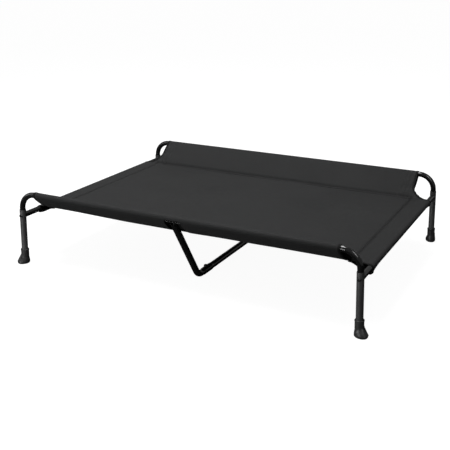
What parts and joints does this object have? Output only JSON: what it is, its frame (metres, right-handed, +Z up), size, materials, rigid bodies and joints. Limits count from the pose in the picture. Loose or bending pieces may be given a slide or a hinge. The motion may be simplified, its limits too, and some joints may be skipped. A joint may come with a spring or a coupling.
{
  "type": "raised dog bed",
  "caption": "Raised dog bed: a dark cloth sling with low side walls, stretched in a bolted black steel tube frame on four legs, with a tube support on the floor under the middle.",
  "frame": {"origin": "middle of the bed on the floor", "axes": "+X along the long side, +Y to the back, +Z up"},
  "size_m": [1.2688, 0.9271, 0.2653],
  "materials": {
    "frame_tube": "glossy black powder coat",
    "foot_rubber": "moulded black rubber, satin",
    "bolt_black": "black coated steel",
    "steel_insert": "plain steel, hidden inside the tubes",
    "sling_cloth": "tightly woven charcoal polyester cloth, matt",
    "edge_tape": "woven black binding tape"
  },
  "bodies": {
    "root": {"leg_front_left": "frame_tube", "leg_front_right": "frame_tube", "leg_back_left": "frame_tube", "leg_back_right": "frame_tube", "foot_front_left": "foot_rubber", "foot_front_right": "foot_rubber", "foot_back_left": "foot_rubber", "foot_back_right": "foot_rubber", "rail_front_left": "frame_tube", "rail_front_right": "frame_tube", "rail_back_left": "frame_tube", "rail_back_right": "frame_tube", "cross_rail_left": "frame_tube", "cross_rail_plugs_left": "steel_insert", "cross_rail_right": "frame_tube", "cross_rail_plugs_right": "steel_insert", "leg_bolts": "bolt_black", "support_arm_front": "frame_tube", "support_arm_back": "frame_tube", "support_floor_bar": "frame_tube", "saddle_screws": "bolt_black", "support_joint_bolts": "bolt_black", "support_joint_nuts": "steel_insert", "sling_cover": "sling_cloth", "corner_binding_front_left": "edge_tape", "corner_binding_front_right": "edge_tape", "corner_binding_back_left": "edge_tape", "corner_binding_back_right": "edge_tape"}
  },
  "joints": []
}
